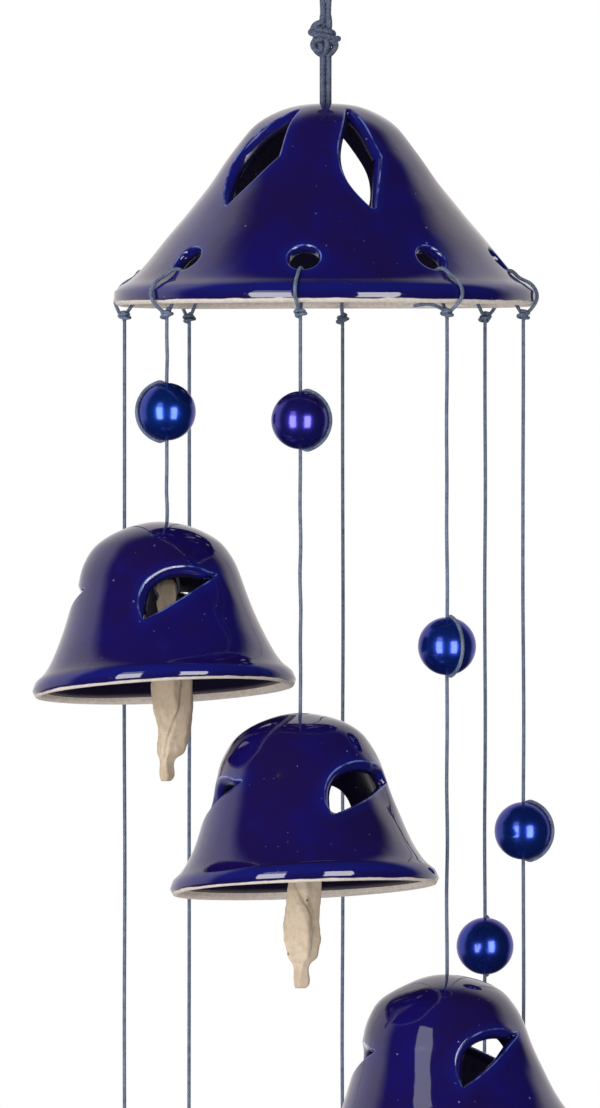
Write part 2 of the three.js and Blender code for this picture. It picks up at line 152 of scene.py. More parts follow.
BELL_WIDTHS = [0.98, 1, 0.985, 1, 1, 1, 0.99, 1]
WINDOW_ANGLES = [15, 46, 34, 80, 10, 60, 100, 35]
WINDOW_WIDTH = 19.6
WINDOW_HEIGHT = 11.4
WINDOW_SLOPE = 10.7
FRONT_WINDOWS = {2: (22, 8.2)}
LEFT_WINDOW_TURNS = {1: 12}
WINDOW_DEPTHS = [20.2, 20.4, 21.8]
SILL_STEPS = 26
LID_STEPS = 38
LID_BEVEL = 0.9
BELL_UNEVENNESS = 0.3
BELL_SEED = 20
LID_LIFTS = [0.5, 0.5, -0.3]
SILL_PRESSES = [1.2, 1, -0.2]

# Beads
BEAD_RADIUS = 7.2
BEAD_BORE_RADIUS = 0.75
BEAD_ROWS = 40
BEAD_SIDES = 56
BEAD_TINTS = [1, 0, 0.85, 0.9, 0.8, 0.7, 0.3, 0.8]

# Clappers
CLAPPER_LENGTH = 50
LONG_CLAPPERS = {2: 53.5}
CLAPPER_HOLE_RADIUS = 1.3
CLAPPER_HOLE_INSET = 4
CLAPPER_TWIST = 24
CLAPPER_FLATTENING = 0.74
CLAPPER_LEANS = [0.42, 0.2, -0.2, 0, -0.2, 0.2, -0.25, 0.15]
CLAPPER_ROWS = 140
CLAPPER_SIDES = 80
CLAPPER_SEED = 80

# Half width of a clapper along its length
CLAPPER_OUTLINE = [
    (0, 1.5), (0.7, 2.1), (8, 2.6), (14, 3.9), (20, 4.8), (27, 5), (34, 4.9), (38.5, 4.5),
    (41.5, 4), (43.3, 3.4), (44, 2.6), (44.8, 2.1), (49.4, 1.9), (50, 1.4),
]

# Flat strokes along a clapper (bearing, reach) and its ledges (bearing, sway, span)
CLAPPER_STROKES = ((0.2, 0.78), (1.4, 0.8), (2.7, 0.76), (3.9, 0.78), (5.1, 0.8))
CLAPPER_LEDGES = ((4.6, 0.6, 5.2), (3.1, 0.4, 6), (1.3, 0.5, 6.4))

# A clapper's ring of cord, in shares of its half width and height
CLAPPER_RING = [
    (0, 1), (0.62, 0.65), (1, 0.22), (0.72, 0.02), (0, 0), (-0.72, 0.02), (-1, 0.22), (-0.62, 0.65),
]

# Stage, in metres
CAMERA_LENS = 490
CAMERA_PLACE = (-0.0064, -3.77, -0.1741)
LAMP_DISTANCE = 1.3
LAMP_LEVEL = -0.19
FLOOR_SIDE = 6.0
FLOOR_BACK = 2.6
FLOOR_LEVEL = -0.9


def direction(angle):
    """Unit vector at an angle round the chime, in the horizontal plane."""
    turn = math.radians(angle)
    return np.array([math.sin(turn), -math.cos(turn), 0])


def joint_point(name):
    """Place of a joint, in millimetres."""
    joint = next(j for j in frame["joints"] if j["name"] == name)
    return np.array(joint["pos_m"]) / MM


def string_angle(number):
    """Bearing of a string's place round the canopy."""
    x, y, _ = joint_point(f"string_{number}_swing")
    return math.degrees(math.atan2(x, -y))


def node_box(name):
    """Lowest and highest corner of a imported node, in millimetres."""
    low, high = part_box(name)
    return np.array(low) / MM, np.array(high) / MM


def smooth_step(low, high, value):
    share = np.clip((value - low) / (high - low), 0, 1)
    return share * share * (3 - 2 * share)


def turns_of(count):
    """Even angles round a full turn."""
    return 2 * math.pi * np.arange(count) / count


def circle(angles):
    """Points at the given angles of a circle of radius 1."""
    return np.column_stack([np.cos(angles), np.sin(angles)])


# Curves


def lengths_along(line):
    """Length walked from the start of a line, at each of its points."""
    return np.concatenate([[0], np.cumsum(np.linalg.norm(np.diff(line, axis=0), axis=1))])


def unit(vectors):
    """The given rows, each at length 1."""
    return vectors / np.linalg.norm(vectors, axis=1)[:, None]


def spline(points, count):
    """Points along the natural cubic curve through the given ones."""
    points = np.asarray(points, float)
    knots = lengths_along(points)
    gaps = np.diff(knots)
    matrix = np.eye(len(points))
    right = np.zeros_like(points)
    for i in range(1, len(points) - 1):
        matrix[i, i - 1 : i + 2] = gaps[i - 1], 2 * (gaps[i - 1] + gaps[i]), gaps[i]
        rise = (points[i + 1] - points[i]) / gaps[i]
        right[i] = 6 * (rise - (points[i] - points[i - 1]) / gaps[i - 1])
    bends = np.linalg.solve(matrix, right)
    along = np.linspace(0, knots[-1], count)
    i = np.clip(np.searchsorted(knots, along, side="right") - 1, 0, len(points) - 2)
    gap = gaps[i][:, None]
    a = (knots[i + 1] - along)[:, None] / gap
    b = 1 - a
    line = a * points[i] + b * points[i + 1]
    return line + ((a**3 - a) * bends[i] + (b**3 - b) * bends[i + 1]) * gap**2 / 6


def closed_spline(points, count):
    """Points along a closed smooth curve through the given ones, without repeating the first."""
    wrapped = np.vstack([points[-4:], points, points[:5]])
    steps = 60
    fine = spline(wrapped, steps * len(wrapped))
    start = np.argmin(np.linalg.norm(fine[: steps * 8] - points[0], axis=1))
    far = start + steps * (len(points) - 3)
    end = far + np.argmin(np.linalg.norm(fine[far:] - points[0], axis=1))
    return even(fine[start : end + 1], count + 1)[:-1]


def even(line, count):
    """Points evenly spaced along a line."""
    along = lengths_along(line)
    places = np.linspace(0, along[-1], count)
    return np.column_stack([np.interp(places, along, part) for part in line.T])


def length_of(line):
    return float(lengths_along(line)[-1])


# Meshes


def mesh_piece(name, points, faces, material, values=None, uvs=None):
    """A smooth mesh object from points in millimetres, with named values at its points."""
    mesh = bpy.data.meshes.new(name)
    mesh.from_pydata((np.asarray(points) * MM).tolist(), [], [tuple(f) for f in faces])
    mesh.polygons.foreach_set("use_smooth", [True] * len(mesh.polygons))
    for label, numbers in (values or {}).items():
        attribute = mesh.attributes.new(label, "FLOAT", "POINT")
        attribute.data.foreach_set("value", np.asarray(numbers, np.float32))
    if uvs is not None:
        layer = mesh.uv_layers.new(name="lay")
        layer.data.foreach_set("uv", np.asarray(uvs, np.float32).ravel())
    mesh.materials.append(material)
    mesh.update()
    piece = bpy.data.objects.new(name, mesh)
    bpy.context.collection.objects.link(piece)
    return piece


def settle(piece, body, slot, *nodes):
    """Rides a piece on its body and hides the imported nodes that it stands for; slot is not used."""
    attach(piece, body)
    if nodes:
        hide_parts(*nodes)
    return piece


def bands(rows, around, closed=False):
    """Faces between rows of points, each row closed round."""
    faces = []
    for i in range(rows if closed else rows - 1):
        low, high = i * around, (i + 1) % rows * around
        for k in range(around):
            after = (k + 1) % around
            faces.append([low + k, high + k, high + after, low + after])
    return faces


def tube(path, radius, closed=False):
    """Points, faces and (turn, length) coordinates of a round cord along a path."""
    path = np.asarray(path, float)
    count = len(path)
    if closed:
        ahead = np.roll(path, -1, axis=0) - np.roll(path, 1, axis=0)
    else:
        ahead = np.gradient(path, axis=0)
    ahead = unit(ahead)
    side = np.cross(ahead[0], [0.31, 0.52, 0.79])
    sides = []
    for along in ahead:
        side = side - (side @ along) * along
        side = side / np.linalg.norm(side)
        sides.append(side)
    sides = np.array(sides)
    ups = np.cross(ahead, sides)
    if closed:
        last = sides[-1] - (sides[-1] @ ahead[0]) * ahead[0]
        slip = math.atan2(last @ ups[0], last @ sides[0])
        turn = -slip * np.arange(count)[:, None] / count
        sides, ups = (
            np.cos(turn) * sides + np.sin(turn) * ups,
            np.cos(turn) * ups - np.sin(turn) * sides,
        )
    round_turn = turns_of(CORD_SIDES)
    along_side, along_up = circle(round_turn).T[:, :, None, None]
    ring = along_side * sides + along_up * ups
    points = (path + radius * ring).transpose(1, 0, 2)
    walked = lengths_along(path)
    rows = list(points)
    marks = list(walked)
    if not closed:
        for at, sign in ((0, -1), (-1, 1)):
            for share in CORD_END_ROWS:
                place = 0 if at == 0 else len(rows)
                bulge = path[at] + sign * ahead[at] * radius * share
                shrink = math.sqrt(1 - share**2)
                rows.insert(place, bulge + shrink * (points[at] - path[at]))
                marks.insert(place, walked[at] + sign * radius * share)
    total = len(rows)
    faces = [[a, d, c, b] for a, b, c, d in bands(total, CORD_SIDES, closed)]
    uvs = []
    step = length_of(np.vstack([path, path[:1]])) / count
    for low, high in zip(marks, marks[1:] + [marks[-1] + step] * closed):
        for k in range(CORD_SIDES):
            u, v = k / CORD_SIDES, (k + 1) / CORD_SIDES
            uvs += [(u, low), (v, low), (v, high), (u, high)]
    if not closed:
        faces.append(list(range(CORD_SIDES))[::-1])
        uvs += [(0, marks[0])] * CORD_SIDES
        faces.append([(total - 1) * CORD_SIDES + k for k in range(CORD_SIDES)])
        uvs += [(0, marks[-1])] * CORD_SIDES
    return np.vstack(rows), faces, uvs


def cord_piece(name, parts, material):
    """One piece made of several tubes."""
    points, faces, uvs = [], [], []
    for some, these, lay in parts:
        shift = sum(len(p) for p in points)
        points.append(some)
        faces += [[i + shift for i in face] for face in these]
        uvs += lay
    return mesh_piece(name, np.vstack(points), faces, material, uvs=uvs)


def knot_wrap(centre, core, radius, turns, rise, phase):
    """Path of a cord wound round the standing cord in a tight knot, its ends tucked in."""
    count = int(20 * turns) + 12
    share = np.linspace(0, 1, count)
    angle = 2 * math.pi * turns * share + math.radians(phase)
    tuck = np.minimum(smooth_step(0, 0.12, share), smooth_step(1, 0.88, share))
    reach = (core + radius) * (0.25 + 0.75 * tuck)
    height = rise * (0.5 - share) + 0.35 * radius * np.sin(angle + 1)
    return centre + np.column_stack([reach * np.sin(angle), -reach * np.cos(angle), height])


def wound(centre, turns, phase):
    """The tubes of a knot in a string."""
    parts = []
    for drop, core, count, rise, start in turns:
        path = knot_wrap(centre - [0, 0, drop], core, CORD_RADIUS, count, rise, phase + start)
        parts.append(tube(path, CORD_RADIUS))
    return parts


# Thrown shells with cut openings


def profile(outline, wall):
    """Table of a shell's middle line from its crown: length, radius, height and outward normal."""
    outline = np.array(outline, float) * [1, -1]
    mirrored = outline[:0:-1] * [-1, 1]
    line = spline(np.vstack([mirrored, outline]), 4001)
    line = line[len(line) // 2 :]
    line[0, 0] = 0
    along = unit(np.gradient(line, axis=0))
    outward = np.column_stack([-along[:, 1], along[:, 0]])
    middle = line - outward * wall / 2
    middle[:, 0] = np.maximum(middle[:, 0], 0)
    return {
        "length": lengths_along(middle),
        "radius": middle[:, 0],
        "height": middle[:, 1],
        "face": line[:, 1],
        "out": outward[:, 0],
        "up": outward[:, 1],
    }


def along_profile(table, key, length):
    return np.interp(length, table["length"], table[key])


def wall_at(table, length):
    """Radius, height and outward normal of a shell's middle line."""
    return [along_profile(table, key, length) for key in ("radius", "height", "out", "up")]


def length_at_depth(table, depth):
    """Length from the crown at which the outer face lies at a depth."""
    return np.interp(depth, -table["face"], table["length"])


def opening(table, angle, outline, edge, bevel=lambda place: 0.0):
    """An opening cut in a shell's side: its outline as (across, length from the crown).

    bevel gives how far the knife's slant widens the outer edge and narrows the inner one.
    """
    turn = math.radians(angle - 90)

    def spread(points):
        radius = along_profile(table, "radius", points[:, 1])
        bearing = turn + np.arcsin(np.clip(points[:, 0] / np.maximum(radius, 1e-6), -1, 1))
        return points[:, 1:] * circle(bearing)

    def local(flat):
        length = np.hypot(*flat.T)
        bearing = np.arctan2(flat[:, 1], flat[:, 0]) - turn
        across = along_profile(table, "radius", length) * np.sin(bearing)
        across[np.cos(bearing) < 0] = 1e3
        return np.column_stack([across, length])

    return {"outline": outline, "edge": edge, "spread": spread, "local": local, "bevel": bevel}


def crown_opening(centre, radius, edge):
    """A round hole near the crown."""
    centre = np.asarray(centre[:2], float)
    return {
        "outline": radius * circle(turns_of(28)),
        "edge": edge,
        "spread": lambda points: points + centre,
        "local": lambda flat: flat - centre,
    }


def outset(loop, distance):
    """A closed outline moved outwards, with arcs round its corners."""
    area = np.sum(loop[:, 0] * np.roll(loop[:, 1], -1) - np.roll(loop[:, 0], -1) * loop[:, 1])
    if area < 0:
        loop = loop[::-1]
    ahead = np.roll(loop, -1, axis=0) - loop
    normal = unit(np.column_stack([ahead[:, 1], -ahead[:, 0]]))
    moved = []
    for i, point in enumerate(loop):
        before, after = normal[i - 1], normal[i]
        first = math.atan2(before[1], before[0])
        swing = math.atan2(before[0] * after[1] - before[1] * after[0], before @ after)
        steps = max(1, math.ceil(swing / 0.35)) if swing > 0.3 else 0
        for k in range(steps + 1):
            angle = first + swing * (k / steps if steps else 0.5)
            moved.append(point + distance * np.array([math.cos(angle), math.sin(angle)]))
    return np.array(moved)


def loop_reach(points, loop):
    """Vectors from a closed outline's nearest points to the given ones."""
    best = np.full(len(points), 1e9)
    reach = np.zeros_like(points)
    for a, d in zip(loop, np.roll(loop, -1, axis=0) - loop):
        share = np.clip(((points - a) @ d) / max(d @ d, 1e-12), 0, 1)
        way = points - a - share[:, None] * d
        gap = np.linalg.norm(way, axis=1)
        nearer = gap < best
        best = np.where(nearer, gap, best)
        reach = np.where(nearer[:, None], way, reach)
    return reach


def loop_distance(points, loop):
    """Distance of points from a closed outline."""
    return np.linalg.norm(loop_reach(points, loop), axis=1)


def inside_loop(points, loop):
    """True for points inside a closed outline."""
    inside = np.zeros(len(points), bool)
    for a, b in zip(loop, np.roll(loop, -1, axis=0)):
        crosses = (a[1] > points[:, 1]) != (b[1] > points[:, 1])
        at = a[0] + (points[:, 1] - a[1]) * (b[0] - a[0]) / (b[1] - a[1] + 1e-30)
        inside ^= crosses & (points[:, 0] < at)
    return inside


def shell(table, wall, openings, lip_edge, bare_lip, pitch, swell):
    """A thrown wall with rounded cuts: points, triangles and values at the points.

    The wall is laid out flat as a disc, cut and triangulated there, and raised on both sides of
    its middle line. swell gives how far the hand-made wall stands off the even one.
    """
    end = table["length"][-1]
    laid, constraints = [], []

    def add(points, *facts, closed=False):
        count, start = len(points), sum(map(len, laid))
        if closed:
            constraints.extend((start + i, start + (i + 1) % count) for i in range(count))
        laid.append(np.column_stack([points, *(np.broadcast_to(fact, count) for fact in facts)]))

    around = round(2 * math.pi * table["radius"][-1] / pitch)
    rim_turn = turns_of(around)
    for row in EDGE_ROWS:
        add((end - row * lip_edge) * circle(rim_turn), row * lip_edge, 1e3, 1, closed=row == 0)
    for cut in openings:
        for row in EDGE_ROWS:
            distance = row * cut["edge"]
            loop = outset(cut["outline"], distance) if row else cut["outline"]
            spread = cut["spread"](loop)
            add(spread, end - np.hypot(*spread.T), distance, cut["edge"], closed=row == 0)

    grid = [np.zeros((1, 2))]
    last = end - EDGE_ROWS[-1] * lip_edge
    ring_count = int(last / pitch)
    for i in range(1, ring_count):
        reach = last * i / ring_count
        radius = along_profile(table, "radius", reach)
        many = max(6, min(around, round(2 * math.pi * radius / pitch)))
        grid.append(reach * circle(turns_of(many) + math.pi * (i % 2) / many))
    grid = np.vstack(grid)
    cut_distance = np.full(len(grid), 1e3)
    cut_edge = np.ones(len(grid))
    keep = np.ones(len(grid), bool)
    for cut in openings:
        spot = cut["local"](grid)
        gap = loop_distance(spot, cut["outline"])
        keep &= (gap > EDGE_ROWS[-1] * cut["edge"] + 0.35 * pitch) & ~inside_loop(spot, cut["outline"])
        cut_edge = np.where(gap < cut_distance, cut["edge"], cut_edge)
        cut_distance = np.minimum(cut_distance, gap)
    grid, cut_distance, cut_edge = grid[keep], cut_distance[keep], cut_edge[keep]
    add(grid, end - np.hypot(*grid.T), cut_distance, cut_edge)

    laid = np.vstack(laid)
    made = geometry.delaunay_2d_cdt([Vector(row[:2]) for row in laid], constraints, [], 0, 1e-7)
    from_rim, from_cut, edge_size = laid[[ids[0] for ids in made[3]], 2:].T
    spot = np.array([tuple(p) for p in made[0]])
    faces = np.array(made[2])
    middle = spot[faces].mean(axis=1)
    solid = np.hypot(*middle.T) < end
    for cut in openings:
        solid &= ~inside_loop(cut["local"](middle), cut["outline"])
    faces = faces[solid]

    reach = np.minimum(np.hypot(*spot.T), end)
    bearing = np.arctan2(spot[:, 1], spot[:, 0])
    round_way = circle(bearing)
    radius, height, out, up = wall_at(table, reach)
    base = np.column_stack([radius[:, None] * round_way, height])
    normal = np.column_stack([out[:, None] * round_way, up])
    share = np.minimum(
        np.clip(from_rim / lip_edge, 0, 1), np.clip(from_cut / np.maximum(edge_size, 1e-6), 0, 1)
    )
    half = wall / 2 * np.sqrt(1 - (1 - share) ** 2)
    base = base + swell(reach, bearing, spot)[:, None] * normal
    round_side = np.column_stack([-round_way[:, 1], round_way[:, 0], np.zeros(len(spot))])
    down = np.column_stack([up[:, None] * round_way, -out])
    slant = np.zeros_like(base)
    for cut in openings:
        if "bevel" not in cut:
            continue
        place = cut["local"](spot)
        way = loop_reach(place, cut["outline"])
        gap = np.linalg.norm(way, axis=1)
        amount = cut["bevel"](place) * np.exp(-((gap / 3) ** 2)) * half / (wall / 2)
        way = way / np.maximum(gap, 1e-6)[:, None]
        slant += amount[:, None] * (way[:, :1] * round_side + way[:, 1:] * down)
    outer = base + half[:, None] * normal + slant
    inner = base - half[:, None] * normal - slant
    border = share <= 0
    twin = np.where(border, np.arange(len(spot)), 0)
    twin[~border] = len(spot) + np.arange((~border).sum())
    points = np.vstack([outer, inner[~border]])
    triangles = np.vstack([faces, twin[faces][:, ::-1]])
    used = np.zeros(len(points), bool)
    used[triangles.ravel()] = True
    number = np.cumsum(used) - 1
    inside = np.concatenate([np.zeros(len(spot)), np.ones((~border).sum())])
    both = lambda x: np.concatenate([x, x[~border]])[used]
    values = {
        "cut": np.minimum(both(from_cut), 20),
        "rim": np.minimum(both(from_rim), 20) / bare_lip,
        "inner": inside[used],
    }
    return points[used], number[triangles], values


def hand_made(seed, strength):
    """Slow unevenness of a thrown wall, as a function of length and bearing."""
    rng = np.random.default_rng(seed)
    phases = rng.uniform(0, 2 * math.pi, 6)
    spans = ((9, 19), (0, 2 * math.pi), (-1.6, 0.9), (4, 7))
    dents = np.column_stack([rng.uniform(low, high, 7) for low, high in spans])

    def swell(reach, bearing, spot):
        grow = smooth_step(4, 20, reach)
        wave = 0.5 * np.cos(2 * bearing + phases[0]) + 0.3 * np.cos(3 * bearing + phases[1] + 0.05 * reach)
        rings = 0.1 * np.sin(reach / 1.9 + phases[2] + 0.4 * np.sin(bearing + phases[3]))
        lumps = 0.25 * np.sin(0.19 * reach + phases[4]) * np.cos(4 * bearing + phases[5])
        total = grow * (wave + rings + lumps)
        for far, turn, depth, size in dents:
            centre = far * circle([turn])[0]
            total = total + depth * np.exp(-np.sum((spot - centre) ** 2, axis=1) / size**2)
        return strength * total

    return swell


def arc_line(points, count):
    """A smooth stretch of an outline through a few points, without its last point."""
    return even(spline(points, 200), count + 1)[:-1]


def straight(start, end, count):
    share = np.arange(count)[:, None] / count
    return np.asarray(start) * (1 - share) + np.asarray(end) * share


def window_outline(table, depth, width, slope):
    """The eye-shaped window: a straight slanting sill under an arched lid."""
    half = width / 2
    low = -WINDOW_HEIGHT / 2
    tip = low + slope
    sill = straight((-half, low), (half, tip), SILL_STEPS)
    top = WINDOW_HEIGHT / 2
    arch = [(0.77, 0.87), (0.36, 0.98), (0, 1), (-0.35, 0.88), (-0.67, 0.56), (-0.88, 0)]
    arch = [(half * across, top * up) for across, up in arch]
    lid = arc_line([(half, tip), *arch, (-half, low)], LID_STEPS)
    outline = np.vstack([sill, lid])
    return np.column_stack([outline[:, 0], length_at_depth(table, depth - outline[:, 1])])


def petal_outline(spread, length, top):
    """The leaf-shaped cut of the canopy: pointed at both ends, with one bowed and one bent side."""
    head, bend, foot = (1.6, 0), (4.9, 17), (0, PETAL_DRAWN_LENGTH)
    bowed = arc_line([head, (-1.7, 8), (-4.4, 17), (-3.4, 26), foot], 34)
    upper = straight(foot, bend, 18)
    lower = straight(bend, head, 20)
    outline = np.vstack([bowed, upper, lower])
    return outline * [spread, length / PETAL_DRAWN_LENGTH] + [0, top]


def round_outline(table, radius, depth):
    """A round hole in a shell's side."""
    return radius * circle(turns_of(32)) + [0, length_at_depth(table, depth)]


# Materials


class Shader:
    """The nodes of a material or of the world, made by short calls."""

    def __init__(self, owner):
        owner.use_nodes = True
        self.owner = owner
        self.tree = owner.node_tree

    def node(self, kind, inputs=None, **settings):
        made = self.tree.nodes.new("ShaderNode" + kind)
        for key, value in settings.items():
            setattr(made, key, value)
        for key, value in (inputs or {}).items():
            self.put(made.inputs[key], value)
        return made

    def put(self, socket, value):
        if isinstance(value, bpy.types.NodeSocket):
            self.tree.links.new(value, socket)
        else:
            socket.default_value = value

    def set(self, **inputs):
        surface = self.tree.nodes["Principled BSDF"]
        for key, value in inputs.items():
            self.put(surface.inputs[key.replace("_", " ")], value)

    def math(self, operation, *values):
        made = self.node("Math", operation=operation)
        for socket, value in zip(made.inputs, values):
            self.put(socket, value)
        return made.outputs[0]

    def plus(self, one, two):
        return self.math("ADD", one, two)

    def minus(self, one, two):
        return self.math("SUBTRACT", one, two)

    def times(self, one, two):
        return self.math("MULTIPLY", one, two)

    def value(self, name):
        return self.node("Attribute", attribute_name=name).outputs["Fac"]

    def place(self):
        return self.node("TexCoord").outputs["Object"]

    def noise(self, scale, detail=3, roughness=0.5, place=None):
        made = self.node("TexNoise", {"Scale": scale, "Detail": detail, "Roughness": roughness})
        self.put(made.inputs["Vector"], place or self.place())
        return made.outputs["Fac"]

    def ramp(self, value, low, high, to_low=0.0, to_high=1.0):
        made = self.node("MapRange", interpolation_type="SMOOTHSTEP")
        names = ("Value", "From Min", "From Max", "To Min", "To Max")
        for key, number in zip(names, (value, low, high, to_low, to_high)):
            self.put(made.inputs[key], number)
        return made.outputs["Result"]

    def mix(self, share, low, high):
        made = self.node("Mix", data_type="RGBA")
        for socket, value in zip((made.inputs[0], made.inputs[6], made.inputs[7]), (share, low, high)):
            self.put(socket, value)
        return made.outputs[2]

    def bump(self, height, distance, strength=1.0, after=None):
        made = self.node("Bump", {"Height": height, "Distance": distance, "Strength": strength})
        if after:
            self.put(made.inputs["Normal"], after)
        return made.outputs["Normal"]

    def specks(self, scale, size, share):
        """1 in small round spots, on some of the cells."""
        cells = self.node("TexVoronoi", {"Scale": scale, "Vector": self.place()})
        draw = self.node("SeparateColor", {"Color": cells.outputs["Color"]}).outputs[0]
        chosen = self.math("LESS_THAN", draw, share)
        near = self.ramp(cells.outputs["Distance"], size, 0.4 * size)
        return self.times(near, chosen)


def colour(red, green, blue):
    """A colour written as it shows on screen, from 0 to 255."""
    shares = [c / 255 for c in (red, green, blue)]
    linear = [c / 12.92 if c <= 0.04045 else ((c + 0.055) / 1.055) ** 2.4 for c in shares]
    return (*linear, 1)


def glaze_material():
    """Cobalt glaze, thin and paler along the cut edges with a painted highlight there, painted shade above
    the lip and inside, painted light on the rolled lip, pinholes and a bare clay lip.
    """
    s = Shader(bpy.data.materials.new("cobalt_glaze"))
    cloud = s.noise(45, 4, 0.6)
    blue = s.mix(s.ramp(cloud, 0.3, 0.7), colour(24, 12, 62), colour(19, 13, 88))
    pooled = s.noise(130, 3, 0.55)
    blue = s.mix(s.ramp(pooled, 0.55, 0.8, 0, 0.3), blue, colour(14, 24, 112))
    rim = s.value("rim")
    # Painted shade: darker from the concave neck above the rolled lip down to the lip.
    blue = s.mix(s.ramp(rim, 4.6, 3.4, 0, 0.5), blue, colour(16, 9, 52))
    # Painted light: a brighter blue band on the rolled lip, where it faces the lamps.
    painted_lip_light = s.times(s.ramp(rim, 3.6, 2.9), s.ramp(rim, 1.2, 2.0, 0.1, 0.4))
    blue = s.mix(painted_lip_light, blue, colour(16, 30, 128))
    cut = s.value("cut")
    blue = s.mix(s.ramp(cut, 3.6, 0.5, 0, 0.26), blue, colour(12, 30, 126))
    inner = s.value("inner")
    # Inside: painted shade, near black deep in, turning to the pale thin glaze near the lip.
    shaded_lining = s.mix(s.ramp(rim, 4.5, 1.6), colour(15, 10, 30), colour(110, 96, 98))
    blue = s.mix(s.times(inner, 0.9), blue, shaded_lining)
    # A pale line along the cut edges: thin glaze over the edge, with a painted highlight on it.
    thin_glaze_and_highlight = s.ramp(s.math("ABSOLUTE", s.minus(cut, 0.42)), 0.2, 0.04)
    thin_glaze_and_highlight = s.times(thin_glaze_and_highlight, s.minus(1.0, inner))
    patchy = s.ramp(s.noise(260, 2), 0.4, 0.62, 0.08, 0.75)
    blue = s.mix(s.times(thin_glaze_and_highlight, patchy), blue, colour(110, 130, 200))
    pinholes = s.math("MAXIMUM", s.specks(400, 0.14, 0.06), s.specks(850, 0.15, 0.06))
    blue = s.mix(s.times(pinholes, 0.5), blue, colour(100, 96, 170))
    edge = s.plus(rim, s.ramp(s.noise(110, 3), 0, 1, -0.16, 0.16))
    bare = s.ramp(edge, 1.06, 0.94)
    grain = s.noise(900, 4, 0.7)
    clay = s.mix(s.ramp(grain, 0.3, 0.7), colour(196, 184, 172), colour(216, 206, 196))
    gloss = s.plus(s.ramp(bare, 0, 1, 0.05, 0.75), s.times(inner, 0.2))
    s.set(Base_Color=s.mix(bare, blue, clay), Roughness=gloss, IOR=1.55)
    s.set(Specular_IOR_Level=s.ramp(inner, 0, 1, 0.5, 0.25))
    skin = s.bump(s.noise(85, 2, 0.4), 0.0006, 0.3)
    holes = s.bump(s.minus(1.0, pinholes), 0.0002, 0.5, skin)
    s.set(Normal=s.bump(s.times(grain, bare), 0.0001, 0.4, holes))
    return s.owner


def clay_material():
    """Unglazed clay, moulded by hand, with grain, smears and a few open pits darkened with painted shade.
    """
    s = Shader(bpy.data.materials.new("bare_clay"))
    wide = s.noise(60, 4, 0.6)
    fine = s.noise(700, 5, 0.65)
    tone = s.mix(s.ramp(wide, 0.3, 0.7), colour(188, 166, 140), colour(212, 193, 168))
    tone = s.mix(s.ramp(fine, 0.42, 0.75, 0, 0.45), tone, colour(168, 145, 119))
    # Open pits, pressed in by the bump and darkened as painted shade in them.
    shaded_pits = s.specks(420, 0.2, 0.07)
    tone = s.mix(s.times(shaded_pits, 0.7), tone, colour(112, 90, 72))
    s.set(Base_Color=tone, Roughness=s.ramp(fine, 0.2, 0.8, 0.72, 0.92))
    drag = s.node("Mapping", {"Scale": (1, 1, 0.22), "Vector": s.place()})
    smears = s.noise(420, 3, 0.6, drag.outputs["Vector"])
    rough = s.bump(smears, 0.0005, 0.5)
    rough = s.bump(fine, 0.0002, 0.5, rough)
    s.set(Normal=s.bump(s.minus(1.0, shaded_pits), 0.0004, 0.8, rough))
    return s.owner


def bead_material():
    """Pearl-blue lacquer over a bead, some greener and some more violet, with fine scratches."""
    s = Shader(bpy.data.materials.new("pearl_bead"))
    cloud = s.noise(160, 3, 0.6)
    hue = s.mix(s.value("tint"), colour(46, 40, 143), colour(20, 60, 160))
    blue = s.mix(s.ramp(cloud, 0.3, 0.7, 0, 0.4), hue, colour(16, 22, 108))
    stretched = s.node("Mapping", {"Scale": (1, 1, 9), "Rotation": (0.6, 0.4, 0), "Vector": s.place()})
    scratches = s.ramp(s.noise(520, 2, 0.5, stretched.outputs["Vector"]), 0.68, 0.78)
    s.set(
        Base_Color=s.mix(s.times(scratches, 0.25), blue, colour(80, 96, 170)),
        Metallic=0.8,
        Roughness=s.ramp(cloud, 0.2, 0.8, 0.24, 0.3),
        Specular_Tint=colour(60, 90, 200),
        Coat_Weight=0.6,
        Coat_Roughness=0.13,
        Coat_IOR=1.5,
    )
    s.set(Normal=s.bump(s.noise(900, 2), 0.00005, 0.4))
    return s.owner


def cord_material(name, dark, light):
    """Waxed, braided cord: crossing strands in the bump, painted shade in the grooves between them, worn
    paler on their crowns.
    """
    s = Shader(bpy.data.materials.new(name))
    parts = s.node("SeparateXYZ", {"Vector": s.node("UVMap", uv_map="lay").outputs["UV"]})
    strands, lay = 4, 1.1
    turn = s.times(parts.outputs["X"], 2 * math.pi * strands)
    walk = s.times(parts.outputs["Y"], 2 * math.pi / lay)
    one = s.math("SINE", s.plus(turn, walk))
    two = s.math("SINE", s.minus(turn, walk))
    braid = s.ramp(s.math("MAXIMUM", one, two), -0.4, 1)
    wear = s.noise(500, 4, 0.6)
    slate = s.mix(s.ramp(wear, 0.3, 0.7), dark, light)
    # Painted shade: darker in the grooves between the strands.
    slate = s.mix(s.ramp(braid, 0.25, 0.95, 0.45, 0), slate, colour(32, 38, 60))
    flecks = s.times(s.ramp(braid, 0.8, 1), s.ramp(s.noise(1400, 2), 0.55, 0.75))
    slate = s.mix(s.times(flecks, 0.45), slate, colour(150, 160, 180))
    s.set(Base_Color=slate, Roughness=s.ramp(wear, 0.2, 0.8, 0.5, 0.68))
    s.set(Sheen_Weight=0.1, Sheen_Roughness=0.5, Normal=s.bump(braid, 0.00012, 0.8))
    return s.owner


def floor_material():
    s = Shader(bpy.data.materials.new("pale_floor"))
    s.set(Base_Color=s.mix(s.noise(3, 2), (0.86, 0.86, 0.86, 1), (0.9, 0.9, 0.9, 1)), Roughness=0.9)
    return s.owner


GLAZE = glaze_material()
CLAY = clay_material()
BEAD = bead_material()
CORD = cord_material("waxed_cord", colour(65, 79, 111), colour(103, 123, 153))
THICK_CORD = cord_material("waxed_thick_cord", colour(44, 49, 80), colour(67, 86, 118))


# Pieces


